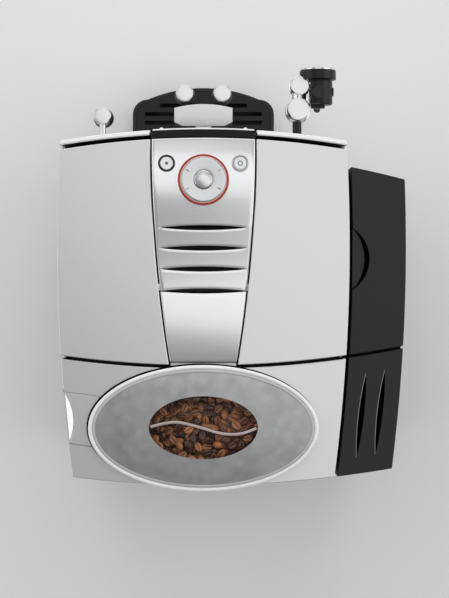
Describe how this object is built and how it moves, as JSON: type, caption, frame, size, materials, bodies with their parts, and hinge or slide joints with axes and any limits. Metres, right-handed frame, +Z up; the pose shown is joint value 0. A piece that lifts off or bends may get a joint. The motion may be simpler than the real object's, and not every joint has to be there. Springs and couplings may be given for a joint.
{
  "type": "bean to cup coffee machine",
  "caption": "Countertop bean to cup coffee machine with waisted dial console, oval bean hopper lid, side water tank, sliding spouts, steam arm and drip tray.",
  "frame": {"origin": "middle of the footprint, at the soles of the feet", "axes": "+Z up; the front faces -Y; +X is to the right of someone in front of the machine"},
  "size_m": [0.3904, 0.502, 0.4858],
  "materials": {
    "base_pan": "plain dark plastic",
    "foot_front_left": "soft black rubber",
    "foot_front_right": "soft black rubber",
    "foot_rear_left": "soft black rubber",
    "foot_rear_right": "soft black rubber",
    "side_panel_left": "silver paint over moulded plastic",
    "side_panel_right": "silver paint over moulded plastic",
    "rear_panel": "silver paint over moulded plastic",
    "mains_inlet": "plain dark plastic",
    "front_panel_left": "silver paint over moulded plastic",
    "front_panel_right": "silver paint over moulded plastic",
    "front_column": "fine-grained black plastic",
    "front_button_left": "satin chrome plate",
    "front_button_right": "satin chrome plate",
    "display_window": "polished tinted plastic",
    "top_cover_left": "silver paint over moulded plastic",
    "top_cover_right": "silver paint over moulded plastic",
    "console": "silver paint over moulded plastic",
    "console_carrier": "plain dark plastic",
    "light_ring": "translucent red plastic",
    "dial_ring": "silver paint over moulded plastic",
    "dial_cap": "silver paint over moulded plastic",
    "console_button_left": "silver paint over moulded plastic",
    "console_button_right": "silver paint over moulded plastic",
    "powder_door": "silver paint over moulded plastic",
    "powder_funnel": "plain dark plastic",
    "rear_cover": "silver paint over moulded plastic",
    "side_hatch": "silver paint over moulded plastic",
    "grind_dial": "plain dark plastic",
    "bean_hopper": "frosted clear plastic",
    "coffee_beans": "roasted coffee beans",
    "hopper_lid": "frosted clear plastic",
    "lid_window": "clear plastic",
    "water_tank": "fine-grained black plastic",
    "tank_lid": "fine-grained black plastic",
    "vent_housing": "fine-grained black plastic",
    "spout_carriage": "silver paint over moulded plastic",
    "spout_left": "fine-grained black plastic",
    "spout_right": "fine-grained black plastic",
    "spout_cap_left": "satin chrome plate",
    "spout_cap_right": "satin chrome plate",
    "hot_water_arm": "satin chrome plate",
    "hot_water_nozzle": "fine-grained black plastic",
    "steam_pipe": "fine-grained black plastic",
    "steam_arm": "satin chrome plate",
    "frother_body": "fine-grained black plastic",
    "frother_knob": "fine-grained black plastic",
    "drip_tray": "fine-grained black plastic",
    "drip_grille": "fine-grained black plastic",
    "grounds_bin": "fine-grained black plastic",
    "inner_frame": "plain dark plastic",
    "brew_cylinder": "fine-grained black plastic",
    "brew_piston": "turned brass",
    "grinder_motor": "cast and machined",
    "grinder_housing": "fine-grained black plastic",
    "burr_upper": "hardened ground steel",
    "burr_lower": "hardened ground steel",
    "thermoblock": "cast and machined",
    "water_pump": "turned brass",
    "control_board": "green laminate board"
  },
  "bodies": {
    "machine": {"base_pan": "base_pan", "foot_front_left": "foot_front_left", "foot_front_right": "foot_front_right", "foot_rear_left": "foot_rear_left", "foot_rear_right": "foot_rear_right", "side_panel_left": "side_panel_left", "side_panel_right": "side_panel_right", "rear_panel": "rear_panel", "mains_inlet": "mains_inlet", "front_panel_left": "front_panel_left", "front_panel_right": "front_panel_right", "front_column": "front_column", "display_window": "display_window", "top_cover_left": "top_cover_left", "top_cover_right": "top_cover_right", "console": "console", "console_carrier": "console_carrier", "light_ring": "light_ring", "powder_funnel": "powder_funnel", "rear_cover": "rear_cover", "bean_hopper": "bean_hopper", "coffee_beans": "coffee_beans", "vent_housing": "vent_housing", "steam_pipe": "steam_pipe", "inner_frame": "inner_frame", "brew_cylinder": "brew_cylinder", "grinder_motor": "grinder_motor", "grinder_housing": "grinder_housing", "burr_upper": "burr_upper", "thermoblock": "thermoblock", "water_pump": "water_pump", "control_board": "control_board"},
    "dial": {"dial_ring": "dial_ring"},
    "dial_cap": {"dial_cap": "dial_cap"},
    "console_button_left": {"console_button_left": "console_button_left"},
    "console_button_right": {"console_button_right": "console_button_right"},
    "front_button_left": {"front_button_left": "front_button_left"},
    "front_button_right": {"front_button_right": "front_button_right"},
    "powder_door": {"powder_door": "powder_door"},
    "side_hatch": {"side_hatch": "side_hatch"},
    "grind_dial": {"grind_dial": "grind_dial"},
    "hopper_lid": {"hopper_lid": "hopper_lid", "lid_window": "lid_window"},
    "water_tank": {"water_tank": "water_tank"},
    "tank_lid": {"tank_lid": "tank_lid"},
    "spout_carriage": {"spout_carriage": "spout_carriage"},
    "spout_left": {"spout_left": "spout_left", "spout_cap_left": "spout_cap_left"},
    "spout_right": {"spout_right": "spout_right", "spout_cap_right": "spout_cap_right"},
    "hot_water": {"hot_water_arm": "hot_water_arm", "hot_water_nozzle": "hot_water_nozzle"},
    "steam_arm": {"steam_arm": "steam_arm"},
    "frother": {"frother_body": "frother_body"},
    "frother_knob": {"frother_knob": "frother_knob"},
    "drip_tray": {"drip_tray": "drip_tray", "grounds_bin": "grounds_bin"},
    "drip_grille": {"drip_grille": "drip_grille"},
    "grinding_burr": {"burr_lower": "burr_lower"},
    "brew_piston": {"brew_piston": "brew_piston"}
  },
  "joints": [
    {"name": "dial_turn", "type": "hinge", "parent": "machine", "child": "dial", "pos_m": [0.0317, -0.09705, 0.473], "axis": [0, 0, 1], "continuous": true},
    {"name": "dial_press", "type": "slide", "parent": "dial", "child": "dial_cap", "axis": [0, 0, -1], "range_m": [0, 0.0015], "stiffness_N_per_m": 300},
    {"name": "console_button_left_press", "type": "slide", "parent": "machine", "child": "console_button_left", "axis": [0, 0, -1], "range_m": [0, 0.0015], "stiffness_N_per_m": 300},
    {"name": "console_button_right_press", "type": "slide", "parent": "machine", "child": "console_button_right", "axis": [0, 0, -1], "range_m": [0, 0.0015], "stiffness_N_per_m": 300},
    {"name": "front_button_left_press", "type": "slide", "parent": "machine", "child": "front_button_left", "axis": [0, 1, 0], "range_m": [0, 0.0015], "stiffness_N_per_m": 300},
    {"name": "front_button_right_press", "type": "slide", "parent": "machine", "child": "front_button_right", "axis": [0, 1, 0], "range_m": [0, 0.0015], "stiffness_N_per_m": 300},
    {"name": "powder_door_hinge", "type": "hinge", "parent": "machine", "child": "powder_door", "pos_m": [0.0317, 0.10375, 0.465], "axis": [-1, 0, 0], "range_deg": [0, 75]},
    {"name": "side_hatch_slide", "type": "slide", "parent": "machine", "child": "side_hatch", "axis": [0.9915, -0.1299, 0], "range_m": [0, 0.03]},
    {"name": "grind_dial_turn", "type": "hinge", "parent": "machine", "child": "grind_dial", "pos_m": [0.1652, 0.16775, 0.457], "axis": [0, 0, 1], "range_deg": [-135, 135]},
    {"name": "hopper_lid_lift", "type": "slide", "parent": "machine", "child": "hopper_lid", "axis": [0, 0, 1], "range_m": [0, 0.06]},
    {"name": "water_tank_lift", "type": "slide", "parent": "machine", "child": "water_tank", "axis": [0, 0, 1], "range_m": [0, 0.1]},
    {"name": "tank_lid_hinge", "type": "hinge", "parent": "water_tank", "child": "tank_lid", "pos_m": [-0.1955, -0.0217, 0.4488], "axis": [0, -1, 0], "range_deg": [0, 95]},
    {"name": "spout_height", "type": "slide", "parent": "machine", "child": "spout_carriage", "axis": [0, 0, -1], "range_m": [0, 0.046]},
    {"name": "spout_left_width", "type": "slide", "parent": "spout_carriage", "child": "spout_left", "axis": [-1, 0, 0], "range_m": [0, 0.01]},
    {"name": "spout_right_width", "type": "slide", "parent": "spout_carriage", "child": "spout_right", "axis": [1, 0, 0], "range_m": [0, 0.01]},
    {"name": "hot_water_swing", "type": "hinge", "parent": "machine", "child": "hot_water", "pos_m": [0.157, -0.19175, 0.236], "axis": [0, 1, 0], "range_deg": [-45, 45]},
    {"name": "steam_arm_swing", "type": "hinge", "parent": "machine", "child": "steam_arm", "pos_m": [-0.0863, -0.20015, 0.256], "axis": [0, 0, 1], "range_deg": [-40, 40]},
    {"name": "frother_tilt", "type": "hinge", "parent": "steam_arm", "child": "frother", "pos_m": [-0.0881, -0.22895, 0.246], "axis": [1, 0, 0], "range_deg": [0, 90]},
    {"name": "frother_knob_turn", "type": "hinge", "parent": "frother", "child": "frother_knob", "pos_m": [-0.1101, -0.21825, 0.2639], "axis": [0, 0, 1], "range_deg": [-90, 90]},
    {"name": "drip_tray_slide", "type": "slide", "parent": "machine", "child": "drip_tray", "axis": [0, -1, 0], "range_m": [0, 0.2]},
    {"name": "drip_grille_lift", "type": "slide", "parent": "drip_tray", "child": "drip_grille", "axis": [0, 0, 1], "range_m": [0, 0.02]},
    {"name": "grinding_burr_spin", "type": "hinge", "parent": "machine", "child": "grinding_burr", "pos_m": [0.0317, 0.18015, 0.36], "axis": [0, 0, 1], "continuous": true},
    {"name": "brew_piston_lift", "type": "slide", "parent": "machine", "child": "brew_piston", "axis": [0, 0, 1], "range_m": [0, 0.06]}
  ],
  "couplings": [
    {"joint": "spout_right_width", "follows": "spout_left_width", "ratio": 1}
  ]
}
